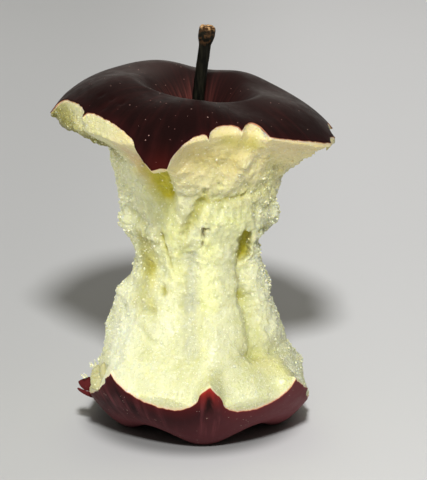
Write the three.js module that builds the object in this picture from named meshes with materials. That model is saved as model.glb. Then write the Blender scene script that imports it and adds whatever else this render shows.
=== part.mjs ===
// An apple eaten down to its core, standing upright, with its stalk.
// Millimetres, +Z up. Azimuth is measured from +X towards +Y, so -90 degrees is the front.
import * as THREE from 'three';

// The whole apple that the core is left from
const HEIGHT = 81.4;            // crest around the stalk, above the feet
const CREST_R = 14.1;
const CREST_AZ = 54;            // one of the crest's five swellings
const CREST_RISE = 0.55;        // their height above the mean, and how much they widen the crest
const CREST_SWELL = 0.1;
const CREST_TILT = 0.45;        // the crest is higher at the back
const CAVITY_DEPTH = 17;        // the hollow the stalk grows from
const CAVITY_POWER = 1.35;      // how its slope starts at the crest, and how steep it gets inside
const CAVITY_STEEP = 2.1;
const CREST_LEFT = 0.13;        // how much further the crest lies on the left
const EQUATOR_R = 40;
const EQUATOR_Z = 50.6;
const SHOULDER_POWER = 2.07;    // 2 is an ellipse
const FOOT_R = 18.2;
const FOOT_FLAT = 0.6;          // how much of each foot is worn flat
const BASIN_DEPTH = 7;          // the hollow under the base
const BASIN_POWER = 1.5;
const BASE_POWER = 1.58;
const LOBES = 5;
const LOBE_AZ = -87.5;
const LOBE_RISE = 3.8;          // height of the valleys between the feet
const LEAN = 0.141;             // slope of the crown, down towards +X
const LEAN_FROM = 30;
const LEAN_TO = 70;

// Where the teeth stopped: azimuth and radius of each cusp of skin, the depth of the bite
// that follows it, and the share of that bite at which it is deepest
const CROWN_BITES = [
  [-180, 34.8, 3.0, 0.38], [-148, 31.2, 2.2, 0.42], [-116, 32.8, -0.2, 0.5], [-107.4, 35.3, 0.1, 0.5],
  [-101.9, 34.8, 2.4, 0.5], [-86.1, 28.8, 2.6, 0.45], [-69, 26.0, 4.2, 0.7], [-55.7, 27.8, 0.2, 0.5],
  [-17.3, 31.3, 0.7, 0.5], [-8, 31.4, 2.2, 0.5], [16, 32.4, 3.2, 0.5], [40, 31.8, 3.4, 0.5],
  [66, 34, 3.0, 0.5], [90, 32, 3.0, 0.5], [112, 33.5, 3.4, 0.5], [138, 32, 3.0, 0.5], [160, 32.8, 2.6, 0.5],
];
const BASE_BITES = [
  [-178, 25.6, 0.4, 0.5], [-164, 28.0, 1.0, 0.5], [-132.3, 32.5, 0.1, 0.5], [-128, 33.4, 2.85, 0.53],
  [-90.3, 32.1, 0.0, 0.5], [-86, 33.0, 0.0, 0.5], [-80.7, 31.3, 2.65, 0.5],
  [-47.2, 32.3, 0.1, 0.5], [-33.6, 30.0, 1.0, 0.4], [-10, 26.2, 2.6, 0.5], [20, 26.4, 1.6, 0.5],
  [52, 29.0, 2.6, 0.5], [92, 31, 3.0, 0.5], [130, 29.0, 2.2, 0.5], [158, 27.0, 1.4, 0.5],
];

// The bitten wall every 30 degrees from -180: height of the upright rim under the crown,
// straight share and power of the flare above the waist, radius and height of the waist,
// straight share and power of the flare below it, and height of the upright rim at the base
const WALL = [
  [6.4, 0.40, 16.0, 15.6, 39.5, 0.80, 2.0, 1.5], [4.6, 0.40, 7.0, 14.4, 40.0, 0.85, 2.5, 1.0],
  [2.0, 0.42, 4.0, 14.6, 41.0, 0.50, 2.5, 0.6], [0.8, 0.45, 3.5, 15.6, 42.0, 0.35, 2.2, 0.5],
  [0.8, 0.45, 3.5, 16.0, 42.0, 0.35, 2.2, 0.5], [1.6, 0.48, 5.0, 14.8, 42.0, 0.70, 2.5, 0.8],
  [2.6, 0.42, 6.0, 13.4, 41.0, 0.82, 2.5, 3.0], [1.6, 0.40, 6.0, 13.6, 41.0, 0.70, 2.5, 1.0],
  [2.2, 0.40, 5.0, 14.0, 41.0, 0.50, 2.5, 0.8], [1.2, 0.42, 4.0, 15.0, 42.0, 0.40, 2.5, 0.8],
  [2.2, 0.40, 5.0, 14.6, 42.0, 0.55, 2.5, 0.8], [3.0, 0.40, 7.0, 14.2, 40.5, 0.80, 2.5, 1.2],
];

const EVEN_TURN = 52;           // away from the skin the wall follows the edges' means over this turn
const EVEN_POWER = 6;           // and how soon it does

// Tooth marks, folds and ridges in the flesh, each a stroke from one azimuth and height to
// another: half width, depth (below zero for a ridge), and how steep its sides are
const MARKS = [
  // front: pocket under the long tooth of skin, and the scoops beside it
  [-117, 65, -119, 56, 4.2, 3.2, 2.5], [-93, 71, -80, 69, 5.5, 1.1, 2], [-44, 68, -36, 62, 6.0, 1.2, 2],
  [-57, 77, -63, 69, 1.8, -0.9, 2], [-63, 69, -72, 62, 1.8, -0.7, 2],
  // ledge with its shadowed fold, the bulge under it and the cleft that leaves it
  [-99, 58.4, -76, 57.6, 2.1, 0.7, 2], [-76, 57.6, -53, 60.4, 2.1, 0.6, 2],
  [-86, 53.4, -52, 53.4, 3.2, -1.0, 2], [-89, 57.8, -103, 50, 1.3, 1.6, 2.5],
  // hole into the seed chamber, the strip beside it and the groove that runs down from it
  [-36, 51, -34, 41, 2.2, -0.9, 2],
  [-54, 42, -53, 34, 1.6, 1.5, 2], [-53, 34, -56, 23, 1.9, 1.7, 2],
  // upright bands down the middle of the lower part
  [-99, 44, -98, 34, 2.2, 1.3, 2], [-98, 34, -96, 24, 2.4, 1.2, 2], [-121, 43, -116, 28, 4.6, -0.8, 2],
  [-79, 44, -80, 24, 4.4, -1.2, 2], [-40, 38, -36, 27, 4.0, -1.4, 2], [-62, 23, -36, 21.5, 1.6, 1.4, 2],
  [-127, 49, -118, 43, 1.4, 0.5, 2], [-120.4, 36.2, -119.8, 35.2, 0.8, 0.5, 2],
  // left side: lump hanging under the tip, narrow waist with a step at each end, swollen foot
  [-178, 68.8, -162, 67.6, 2.2, -1.0, 3], [-176, 64.6, -166, 64, 1.8, 1.0, 2],
  [-178, 57.5, -160, 55, 3.2, -0.9, 2], [-177, 49.5, -172, 47.5, 3.4, -1.2, 2],
  [-172, 48.4, -134, 48.4, 2.0, -1.0, 3], [-132, 44.8, -129, 40, 2.8, 0.7, 2],
  [-176, 29, -172, 24, 4.8, -1.0, 3], [-178, 32.2, -152, 31.5, 1.7, -0.9, 3],
  [178, 28, 176, 22, 4.4, -0.9, 2],
  // right side: two shelves and the hollows under them
  [-34, 54.5, -6, 52, 2.6, -0.6, 2], [-12, 53.4, -4, 50.3, 2.9, -1.6, 4],
  [-34, 47.2, -4, 44.8, 1.6, 1.2, 3],
  [-24, 35.4, 4, 33.4, 2.2, -0.6, 2], [-12, 15.6, 6, 14.2, 2.2, -0.7, 2],
  [-4, 30, 6, 26.6, 2.6, 1.4, 2], [-4, 20.6, 12, 19.6, 2.2, 1.6, 2],
  // back: bites of the same kind
  [24, 66, 32, 62, 5.0, 1.5, 2], [52, 66, 50, 60, 4.6, 1.7, 2], [80, 67, 76, 61, 5.0, 1.6, 2],
  [103, 66, 100, 62, 4.6, 1.6, 2], [126, 65, 124, 60, 4.6, 1.7, 2], [148, 66, 150, 62, 4.4, 1.4, 2],
  [62, 63, 66, 55, 2.2, -1.4, 2], [112, 63, 109, 54, 2.2, -1.3, 2], [44, 52, 70, 50, 3.2, -1.2, 2],
  [84, 53, 120, 54, 1.8, 1.5, 2], [76, 49, 82, 37, 2.0, 1.5, 2], [122, 46, 114, 33, 2.2, 1.4, 2],
  [98, 45, 99, 28, 4.2, -1.2, 2], [36, 28, 38, 20, 5.2, 1.4, 2], [71, 27, 72, 20, 5.4, 1.5, 2],
  [111, 26, 112, 19, 5.2, 1.5, 2], [146, 27, 144, 20, 4.6, 1.3, 2], [24, 44, 22, 30, 2.2, 1.2, 2],
  [150, 50, 156, 40, 2.0, 1.1, 2],
];

// Hole into the seed chamber, pushed straight back: sizes as in the marks above
const HOLE = [-52.8, 49.2, -53.3, 44.2, 1.65, 5.5, 5];

// Mesh steps
const COLUMNS = 76;
const WALL_ROWS = 42;
const CROWN_RINGS = [1.4, 4, 7, 10, 12.4, CREST_R, 17];
const CROWN_SHARES = [0.36, 0.7];      // further rings, at shares of the way on to the skin edge
const BASE_SHARES = [0.72, 0.4];
const BASE_RINGS = [19.6, FOOT_R, 16.8, 14.4, 11.4, 7.6, 3.8];
const CURVE_STEPS = 240;

// Stalk
const STALK_FOOT = new THREE.Vector3(-1.3, 0, 67.7);
const STALK_BEND = new THREE.Vector3(-0.7, 0, 79.5);
const STALK_TIP = new THREE.Vector3(1.8, 0, 95.2);
const STALK_R = 1.3;
const STALK_FOOT_R = 1.65;
const STALK_KNOB_R = 1.95;
const STALK_ROWS = 16;
const STALK_COLUMNS = 12;

// Dried flower remains in the hollow under the base
const FLOWER_R = 3.6;
const SEPAL_REACH = 1.7;
const FLOWER_GAP = 0.35;        // under the roof of the hollow
const FLOWER_THICK = 0.7;       // at the edge
const FLOWER_LOW = 2.6;
const FLOWER_DISH = 1.3;        // depth of its own hollow
const FLOWER_COLUMNS = 30;

const radians = THREE.MathUtils.degToRad;
const clamp = THREE.MathUtils.clamp;
const rise = THREE.MathUtils.smoothstep;

// 1 at the centre, falling off smoothly to either side
function hump(x, centre, width) {
  return Math.exp(-(((x - centre) / width) ** 2));
}

// The crown as a surface of revolution
function roundCrown(rho) {
  if (rho < CREST_R) return HEIGHT - CAVITY_DEPTH * (1 - (rho / CREST_R) ** CAVITY_POWER) ** CAVITY_STEEP;
  const q = (rho - CREST_R) / (EQUATOR_R - CREST_R);
  return EQUATOR_Z + (HEIGHT - EQUATOR_Z) * (1 - q ** SHOULDER_POWER) ** (1 / SHOULDER_POWER);
}

function crownHeight(rho, azimuth) {
  const lobe = Math.cos(radians(LOBES * (azimuth - CREST_AZ)));
  const lift = CREST_TILT * Math.sin(radians(azimuth)) + CREST_RISE * lobe;
  const left = Math.max(-Math.cos(radians(azimuth)), 0);
  const swell = (CREST_SWELL * lobe + CREST_LEFT * left) * hump(rho, 13, 7);
  return roundCrown(rho / (1 + swell)) + lift * hump(rho, 16, 8);
}

function baseHeight(rho, azimuth) {
  const q = (rho - FOOT_R) / (EQUATOR_R - FOOT_R);
  const round = rho < FOOT_R
    ? BASIN_DEPTH * (1 - (rho / FOOT_R) ** 2) ** BASIN_POWER
    : EQUATOR_Z * (1 - (1 - q ** BASE_POWER) ** (1 / BASE_POWER));
  const valley = 0.5 - 0.5 * Math.cos(radians(LOBES * (azimuth - LOBE_AZ)));
  return Math.max(round + LOBE_RISE * valley * hump(rho, 17, 9) - FOOT_FLAT, 0);
}

function polar(rho, azimuth, z) {
  return new THREE.Vector3(rho * Math.cos(radians(azimuth)), rho * Math.sin(radians(azimuth)), z);
}

function leaned(point) {
  return point.setZ(point.z - LEAN * point.x * rise(point.z, LEAN_FROM, LEAN_TO));
}

// Radius of a bitten skin edge: a half-oval bite from each cusp to the next
function edgeRadius(bites, azimuth) {
  const turn = bites[0][0];
  const a = THREE.MathUtils.euclideanModulo(azimuth - turn, 360) + turn;
  let i = bites.length - 1;
  while (a < bites[i][0]) i -= 1;
  const [from, radius, depth, deepest] = bites[i];
  const [to, next] = i + 1 < bites.length ? bites[i + 1] : [turn + 360, bites[0][1]];
  const u = (a - from) / (to - from);
  const v = u ** (Math.log(0.5) / Math.log(deepest));
  return radius + (next - radius) * u - depth * Math.sqrt(Math.max(1 - (2 * v - 1) ** 2, 0));
}

// Azimuths of the mesh columns, with one on every cusp
function columnAzimuths(bites, count) {
  const stops = [...bites.map((bite) => bite[0]), bites[0][0] + 360];
  const at = stops.map((stop) => Math.round((stop - stops[0]) / 360 * count));
  for (let i = 1; i < at.length; i += 1) at[i] = Math.max(at[i], at[i - 1] + 1);
  const azimuths = [];
  for (let i = 1; i < at.length; i += 1) {
    for (let k = at[i - 1]; k < at[i]; k += 1) {
      azimuths.push(stops[i - 1] + (stops[i] - stops[i - 1]) * (k - at[i - 1]) / (at[i] - at[i - 1]));
    }
  }
  return azimuths;
}

// The wall's sizes at any azimuth, joined smoothly around
function wallSizes(azimuth) {
  const f = THREE.MathUtils.euclideanModulo(azimuth + 180, 360) / 360 * WALL.length;
  const i = Math.floor(f);
  const t = f - i;
  return WALL[0].map((_, k) => {
    const [a, b, c, d] = [-1, 0, 1, 2].map((j) => WALL[(i + j + WALL.length) % WALL.length][k]);
    return b + 0.5 * t * (c - a + t * (2 * a - 5 * b + 4 * c - d + t * (3 * (b - c) + d - a)));
  });
}

function evenRadius(bites, azimuth) {
  let sum = 0;
  for (let k = -4; k <= 4; k += 1) sum += edgeRadius(bites, azimuth + k * EVEN_TURN / 8);
  return sum / 9;
}

function wallEnds(topAzimuth, lowAzimuth = topAzimuth) {
  const top = edgeRadius(CROWN_BITES, topAzimuth);
  const low = edgeRadius(BASE_BITES, lowAzimuth);
  const evenTop = evenRadius(CROWN_BITES, topAzimuth);
  const evenLow = evenRadius(BASE_BITES, lowAzimuth);
  return {
    top, topZ: crownHeight(top, topAzimuth), low, lowZ: baseHeight(low, lowAzimuth),
    evenTop, evenTopZ: crownHeight(evenTop, topAzimuth), evenLow, evenLowZ: baseHeight(evenLow, lowAzimuth),
  };
}

// Radius of the plain bitten wall: an even flare, drawn to the skin edges close to them
function wallRadius(azimuth, z, ends) {
  const [rim, share, power, waist, waistZ, lowShare, lowPower, lowRim] = wallSizes(azimuth);
  const upTo = (end, height) => clamp((height - waistZ) / (end - rim - waistZ), 0, 1);
  const downTo = (end, height) => clamp((waistZ - height) / (waistZ - end - lowRim), 0, 1);
  const even = (height) => {
    const up = upTo(ends.evenTopZ, height);
    const down = downTo(ends.evenLowZ, height);
    return waist
      + (ends.evenTop - waist) * (share * up + (1 - share) * up ** power)
      + (ends.evenLow - waist) * (lowShare * down + (1 - lowShare) * down ** lowPower);
  };
  return even(z)
    + (ends.top - even(ends.topZ)) * upTo(ends.topZ, z) ** EVEN_POWER
    + (ends.low - even(ends.lowZ)) * downTo(ends.lowZ, z) ** EVEN_POWER;
}

function wallPoint(azimuth, z) {
  return polar(wallRadius(azimuth, z, wallEnds(azimuth)), azimuth, z);
}

const stroke = ([a0, z0, a1, z1, width, depth, steep]) => ({
  line: new THREE.Line3(wallPoint(a0, z0), wallPoint(a1, z1)), width, depth, steep,
});
const strokes = MARKS.map(stroke);
const hole = stroke(HOLE);

function strokeDepth(point, { line, width, depth, steep }) {
  const reach = line.closestPointToPoint(point, true, new THREE.Vector3()).distanceTo(point) / width;
  return reach > 3 ? 0 : depth * Math.exp(-(reach ** steep));
}

function markDepth(point) {
  return strokes.reduce((sum, mark) => sum + strokeDepth(point, mark), 0);
}

// One column of the wall, evenly spaced from the crown's skin edge down to the base's
function wallColumn(topAzimuth, lowAzimuth) {
  const ends = wallEnds(topAzimuth, lowAzimuth);
  const fine = [];
  for (let i = 0; i <= CURVE_STEPS; i += 1) {
    const t = i / CURVE_STEPS;
    const azimuth = THREE.MathUtils.lerp(topAzimuth, lowAzimuth, t);
    const z = THREE.MathUtils.lerp(ends.topZ, ends.lowZ, t);
    fine.push(polar(wallRadius(azimuth, z, ends), azimuth, z));
  }
  const length = [0];
  for (let i = 1; i < fine.length; i += 1) length.push(length[i - 1] + fine[i].distanceTo(fine[i - 1]));
  const column = [];
  for (let row = 0, i = 0; row < WALL_ROWS; row += 1) {
    const want = length[CURVE_STEPS] * row / (WALL_ROWS - 1);
    while (i < CURVE_STEPS - 1 && length[i + 1] < want) i += 1;
    column.push(fine[i].clone().lerp(fine[i + 1], (want - length[i]) / (length[i + 1] - length[i])));
  }
  return column;
}

// The plain wall moved along its normals by the marks, which fade out at the skin edges
function carvedColumns(plain) {
  return plain.map((column, j) => column.map((point, i) => {
    if (i === 0 || i === WALL_ROWS - 1) return point;
    const before = plain[(j + COLUMNS - 1) % COLUMNS][i];
    const after = plain[(j + 1) % COLUMNS][i];
    const normal = after.clone().sub(before).cross(column[i - 1].clone().sub(column[i + 1])).normalize();
    const toEdge = Math.min(point.distanceTo(column[0]), point.distanceTo(column[WALL_ROWS - 1]));
    const fade = rise(toEdge, 0.3, 3);
    const carved = point.clone().addScaledVector(normal, -fade * markDepth(point));
    carved.y += fade * strokeDepth(point, hole);
    return carved;
  }));
}

// A closed surface from a point at the top, rings of points, and a point at the bottom
function closedSurface(top, rings, bottom) {
  const width = rings[0].length;
  const points = [top, ...rings.flat(), bottom];
  const last = points.length - 1;
  const index = [];
  for (let j = 0; j < width; j += 1) {
    const k = (j + 1) % width;
    index.push(0, 1 + j, 1 + k);
    for (let i = 0; i + 1 < rings.length; i += 1) {
      const a = 1 + i * width;
      const b = a + width;
      index.push(a + j, b + j, b + k, a + j, b + k, a + k);
    }
    index.push(last, last - width + k, last - width + j);
  }
  const geometry = new THREE.BufferGeometry().setFromPoints(points);
  geometry.setIndex(index);
  geometry.computeVertexNormals();
  return geometry;
}

function coreGeometry() {
  const topAzimuths = columnAzimuths(CROWN_BITES, COLUMNS);
  const lowAzimuths = columnAzimuths(BASE_BITES, COLUMNS);
  const crownRing = (radius) => topAzimuths.map((azimuth) => {
    const rho = radius(azimuth);
    return leaned(polar(rho, azimuth, crownHeight(rho, azimuth)));
  });
  const baseRing = (radius) => lowAzimuths.map((azimuth) => {
    const rho = radius(azimuth);
    return polar(rho, azimuth, baseHeight(rho, azimuth));
  });
  const outwards = (bites, inner, share) => (
    (azimuth) => THREE.MathUtils.lerp(inner, edgeRadius(bites, azimuth), share)
  );
  const columns = carvedColumns(topAzimuths.map((azimuth, j) => wallColumn(azimuth, lowAzimuths[j])));
  const wall = Array.from({ length: WALL_ROWS }, (_, i) => (
    columns.map((column) => leaned(column[i].clone()))
  ));
  const rings = [
    ...CROWN_RINGS.map((rho) => crownRing(() => rho)),
    ...CROWN_SHARES.map((share) => crownRing(outwards(CROWN_BITES, CROWN_RINGS.at(-1), share))),
    ...wall,
    ...BASE_SHARES.map((share) => baseRing(outwards(BASE_BITES, BASE_RINGS[0], share))),
    ...BASE_RINGS.map((rho) => baseRing(() => rho)),
  ];
  return closedSurface(polar(0, 0, roundCrown(0)), rings, polar(0, 0, baseHeight(0, 0)));
}

function stalkGeometry() {
  const line = new THREE.QuadraticBezierCurve3(STALK_FOOT, STALK_BEND, STALK_TIP);
  const side = new THREE.Vector3(0, -1, 0);
  const rings = [];
  for (let i = STALK_ROWS; i >= 0; i -= 1) {
    const t = i / STALK_ROWS;
    const centre = line.getPoint(t);
    const across = line.getTangent(t).cross(side).normalize();
    const footing = (STALK_FOOT_R - STALK_R) * (1 - rise(t, 0, 0.35));
    const knob = (STALK_KNOB_R - STALK_R) * rise(t, 0.8, 0.93);
    const narrowing = Math.min(1, 0.4 + 9 * t, 0.72 + 6 * (1 - t));      // at either end
    rings.push(Array.from({ length: STALK_COLUMNS }, (_, j) => {
      const a = 2 * Math.PI * j / STALK_COLUMNS;
      const r = (STALK_R + footing + knob) * narrowing * (1 + 0.06 * Math.cos(3 * a));
      return centre.clone().addScaledVector(across, r * Math.cos(a)).addScaledVector(side, -r * Math.sin(a));
    }));
  }
  return closedSurface(line.getPoint(1), rings, line.getPoint(0));
}

function flowerGeometry() {
  const reach = (azimuth) => FLOWER_R + SEPAL_REACH * Math.cos(radians(LOBES * (azimuth - LOBE_AZ)));
  const ring = (share, height) => Array.from({ length: FLOWER_COLUMNS }, (_, j) => {
    const azimuth = LOBE_AZ + 360 * j / FLOWER_COLUMNS;
    const rho = share * reach(azimuth);
    return polar(rho, azimuth, height(rho, azimuth));
  });
  const roof = (rho, azimuth) => baseHeight(rho, azimuth) - FLOWER_GAP;
  const edge = (rho, azimuth) => roof(rho, azimuth) - FLOWER_THICK;
  const under = (rho) => FLOWER_LOW + FLOWER_DISH * hump(rho, 0, 1.6) + 0.4 * (rho / FLOWER_R) ** 2;
  return closedSurface(
    polar(0, 0, roof(0, 0)),
    [
      ring(0.5, roof), ring(0.95, roof), ring(1, edge),
      ring(0.85, under), ring(0.5, under), ring(0.25, under),
    ],
    polar(0, 0, under(0)),
  );
}

function piece(name, geometry, colour, roughness) {
  const material = new THREE.MeshStandardMaterial({ color: colour, roughness, metalness: 0 });
  const mesh = new THREE.Mesh(geometry, material);
  mesh.name = name;
  return mesh;
}

const model = new THREE.Group();
model.name = 'eaten_apple_core';
model.add(
  piece('apple_core', coreGeometry(), 0xece6ae, 0.45),
  piece('stalk', stalkGeometry(), 0x191712, 0.5),
  piece('calyx', flowerGeometry(), 0x3a2a1a, 0.8),
);

// The origin is under the middle of the bounding box
const box = new THREE.Box3().setFromObject(model);
const middle = box.getCenter(new THREE.Vector3());
for (const mesh of model.children) mesh.position.set(-middle.x, -middle.y, -box.min.z);

export default model;
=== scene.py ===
"""The looks of an apple eaten down to its core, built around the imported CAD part.

Shapes are worked out in millimetres on the apple's own axis: azimuth -90 degrees is the front.
They are moved to the part's frame, in metres, when a mesh is made.
"""
import itertools
import math

import bmesh
import bpy
import numpy as np
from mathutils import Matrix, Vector


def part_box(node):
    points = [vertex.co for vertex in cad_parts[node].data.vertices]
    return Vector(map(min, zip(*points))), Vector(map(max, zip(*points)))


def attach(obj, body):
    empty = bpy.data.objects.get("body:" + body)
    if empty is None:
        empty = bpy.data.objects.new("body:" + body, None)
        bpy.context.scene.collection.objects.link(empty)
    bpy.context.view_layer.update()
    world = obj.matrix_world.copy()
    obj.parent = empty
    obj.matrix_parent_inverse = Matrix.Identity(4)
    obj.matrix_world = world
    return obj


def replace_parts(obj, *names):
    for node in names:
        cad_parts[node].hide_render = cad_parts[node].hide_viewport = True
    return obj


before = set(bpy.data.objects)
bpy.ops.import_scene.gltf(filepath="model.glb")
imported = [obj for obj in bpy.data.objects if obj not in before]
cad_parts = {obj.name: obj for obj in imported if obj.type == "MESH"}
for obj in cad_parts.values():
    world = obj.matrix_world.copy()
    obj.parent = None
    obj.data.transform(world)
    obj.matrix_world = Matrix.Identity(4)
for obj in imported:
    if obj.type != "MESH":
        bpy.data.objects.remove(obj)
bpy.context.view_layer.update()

MM = 0.001
UP = np.array([0, 0, 1])
scene = bpy.context.scene

# ---- sizes shared with the CAD part
HEIGHT = 81.4
CREST_R = 14.1
CREST_AZ = 54.0
CREST_RISE = 0.55
CREST_SWELL = 0.1
CREST_TILT = 0.45
CAVITY_DEPTH = 17.0
CAVITY_POWER = 1.35
CAVITY_STEEP = 2.1
CREST_LEFT = 0.13
EQUATOR_R = 40.0
EQUATOR_Z = 50.6
SHOULDER_POWER = 2.07
FOOT_R = 18.2
FOOT_FLAT = 0.6
BASIN_DEPTH = 7.0
BASE_POWER = 1.58
LOBES = 5
LOBE_AZ = -87.5
LOBE_RISE = 3.8
LEAN = 0.141
LEAN_FROM, LEAN_TO = 30.0, 70.0
EVEN_TURN = 52.0
EVEN_POWER = 6

# Azimuth and radius of each cusp of skin, depth of the bite after it, and the share of the way to
# the next cusp at which it is deepest, a half where it's left out
CROWN_BITES = [
    (-180, 34.8, 3, 0.38), (-148, 31.2, 2.2, 0.42), (-116, 32.8, -0.2), (-107.4, 35.3, 0.1),
    (-101.9, 34.8, 2.4), (-86.1, 28.8, 2.6, 0.45), (-69, 26, 4.2, 0.7), (-55.7, 27.8, 0.2),
    (-17.3, 31.3, 0.7), (-8, 31.4, 2.2), (16, 32.4, 3.2), (40, 31.8, 3.4), (66, 34, 3), (90, 32, 3),
    (112, 33.5, 3.4), (138, 32, 3), (160, 32.8, 2.6),
]
BASE_BITES = [
    (-178, 25.6, 0.4), (-164, 28, 1), (-132.3, 32.5, 0.1), (-128, 33.4, 2.85, 0.53), (-90.3, 32.1, 0),
    (-86, 33, 0), (-80.7, 31.3, 2.65), (-47.2, 32.3, 0.1), (-33.6, 30, 1, 0.4), (-10, 26.2, 2.6),
    (20, 26.4, 1.6), (52, 29, 2.6), (92, 31, 3), (130, 29, 2.2), (158, 27, 1.4),
]

# The bitten wall every 30 degrees from -180: rim height, straight share and power of the flare above
# the waist, radius and height of the waist, straight share, power and rim height of the flare below
WALL = np.array([
    (6.4, 0.4, 16, 15.6, 39.5, 0.8, 2, 1.5), (4.6, 0.4, 7, 14.4, 40, 0.85, 2.5, 1),
    (2, 0.42, 4, 14.6, 41, 0.5, 2.5, 0.6), (0.8, 0.45, 3.5, 15.6, 42, 0.35, 2.2, 0.5),
    (0.8, 0.45, 3.5, 16, 42, 0.35, 2.2, 0.5), (1.6, 0.48, 5, 14.8, 42, 0.7, 2.5, 0.8),
    (2.6, 0.42, 6, 13.4, 41, 0.82, 2.5, 3), (1.6, 0.4, 6, 13.6, 41, 0.7, 2.5, 1),
    (2.2, 0.4, 5, 14, 41, 0.5, 2.5, 0.8), (1.2, 0.42, 4, 15, 42, 0.4, 2.5, 0.8),
    (2.2, 0.4, 5, 14.6, 42, 0.55, 2.5, 0.8), (3, 0.4, 7, 14.2, 40.5, 0.8, 2.5, 1.2),
])

# Strokes in the flesh: from azimuth and height, to azimuth and height, half width, depth
# (below zero for a ridge), and how steep the sides are, 2 where it's left out
MARKS = [
    (-117, 65, -119, 56, 4.2, 3.2, 2.5), (-93, 71, -80, 69, 5.5, 1.1), (-44, 68, -36, 62, 6, 1.2),
    (-57, 77, -63, 69, 1.8, -0.9), (-63, 69, -72, 62, 1.8, -0.7), (-99, 58.4, -76, 57.6, 2.1, 0.7),
    (-76, 57.6, -53, 60.4, 2.1, 0.6), (-86, 53.4, -52, 53.4, 3.2, -1),
    (-89, 57.8, -103, 50, 1.3, 1.6, 2.5), (-36, 51, -34, 41, 2.2, -0.9), (-54, 42, -53, 34, 1.6, 1.5),
    (-53, 34, -56, 23, 1.9, 1.7), (-99, 44, -98, 34, 2.2, 1.3), (-98, 34, -96, 24, 2.4, 1.2),
    (-121, 43, -116, 28, 4.6, -0.8), (-79, 44, -80, 24, 4.4, -1.2), (-40, 38, -36, 27, 4, -1.4),
    (-62, 23, -36, 21.5, 1.6, 1.4), (-127, 49, -118, 43, 1.4, 0.5), (-120.4, 36.2, -119.8, 35.2, 0.8, 0.5),
    (-178, 68.8, -162, 67.6, 2.2, -1, 3), (-176, 64.6, -166, 64, 1.8, 1),
    (-178, 57.5, -160, 55, 3.2, -0.9), (-177, 49.5, -172, 47.5, 3.4, -1.2),
    (-172, 48.4, -134, 48.4, 2, -1, 3), (-132, 44.8, -129, 40, 2.8, 0.7), (-176, 29, -172, 24, 4.8, -1, 3),
    (-178, 32.2, -152, 31.5, 1.7, -0.9, 3), (178, 28, 176, 22, 4.4, -0.9), (-34, 54.5, -6, 52, 2.6, -0.6),
    (-12, 53.4, -4, 50.3, 2.9, -1.6, 4), (-34, 47.2, -4, 44.8, 1.6, 1.2, 3),
    (-24, 35.4, 4, 33.4, 2.2, -0.6), (-12, 15.6, 6, 14.2, 2.2, -0.7), (-4, 30, 6, 26.6, 2.6, 1.4),
    (-4, 20.6, 12, 19.6, 2.2, 1.6), (24, 66, 32, 62, 5, 1.5), (52, 66, 50, 60, 4.6, 1.7),
    (80, 67, 76, 61, 5, 1.6), (103, 66, 100, 62, 4.6, 1.6), (126, 65, 124, 60, 4.6, 1.7),
    (148, 66, 150, 62, 4.4, 1.4), (62, 63, 66, 55, 2.2, -1.4), (112, 63, 109, 54, 2.2, -1.3),
    (44, 52, 70, 50, 3.2, -1.2), (84, 53, 120, 54, 1.8, 1.5), (76, 49, 82, 37, 2, 1.5),
    (122, 46, 114, 33, 2.2, 1.4), (98, 45, 99, 28, 4.2, -1.2), (36, 28, 38, 20, 5.2, 1.4),
    (71, 27, 72, 20, 5.4, 1.5), (111, 26, 112, 19, 5.2, 1.5), (146, 27, 144, 20, 4.6, 1.3),
    (24, 44, 22, 30, 2.2, 1.2), (150, 50, 156, 40, 2, 1.1),
]

# Hole into the seed chamber, pushed straight back rather than along the wall's normal
HOLE = (-52.8, 49.2, -53.3, 44.2, 1.65, 5.5, 5)

HOLE_SEEN = 0.7  # share of its depth left open, the rest filled with seed-chamber lining

# Finer marks that only the looks carry
FINE_MARKS = [
    # the fold under the upper bites, deepest where the cleft leaves it
    (-92, 60, -76, 60.2, 2.4, 0.5), (-76, 60.4, -58, 62.4, 2.4, 0.4), (-89, 54.8, -60, 55.6, 2, 0.45),
    (-66, 59.2, -56.5, 60, 0.6, 0.5), (-56.5, 60, -38.5, 60.8, 0.6, 0.4),
    (-89.5, 57.1, -95.9, 53.4, 0.7, 0.35), (-95.9, 53.4, -104.3, 49.5, 0.5, 0.6),
    # wall beside the pocket, and the pocket's own floor
    (-106.4, 65, -107, 57, 1.3, -0.6), (-114, 61, -113, 57.5, 2.2, 1.2), (-103, 57, -101, 50, 2.2, -0.5),
    # strip beside the hole
    (-44.5, 50.5, -45.5, 44, 0.8, -0.5),
    # crack with a branch
    (-87.3, 52, -88.6, 46.9, 0.3, 1), (-88, 52, -83.3, 52.2, 0.3, 0.7),
    (-89.4, 55.4, -87.6, 52.4, 0.28, 0.4),
    # pits
    (-86.1, 61.7, -86.6, 60.6, 0.5, 0.9), (-77.1, 63.4, -76.6, 62.8, 0.35, 0.7),
    (-83.3, 35.9, -83, 35, 0.3, 0.6), (-38.1, 18.2, -37, 17.2, 0.55, 1),
    (-57.5, 36.2, -56.4, 33.6, 0.8, 1.1),
    # folds on the left
    (-125, 48.6, -121, 45.4, 0.4, 0.5), (-121, 45.4, -116.1, 41.5, 0.4, 0.35),
    (-139.6, 30.9, -125.6, 31, 0.8, 0.8), (-134.5, 27.5, -118.5, 24.9, 0.6, 0.5),
    (-131, 24, -124, 19, 0.9, 0.25), (-150, 66, -143, 60, 1.6, 0.9), (-136, 55, -124, 51, 1.2, 0.8),
    (-158, 52, -140, 50, 1.3, 0.9), (-146, 58, -134, 63, 1.6, -0.7),
    # folds on the right
    (-33.7, 66.4, -17.6, 66.2, 0.9, 0.9), (-38, 51, -14, 49.2, 1, 1.1), (-46, 57, -30, 55.5, 1, 0.6),
    (-26, 20, -8, 15, 2, -0.7), (-44, 26, -30, 30, 0.8, 0.5), (-48, 17, -43, 16.2, 0.8, 0.5),
]


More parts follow.
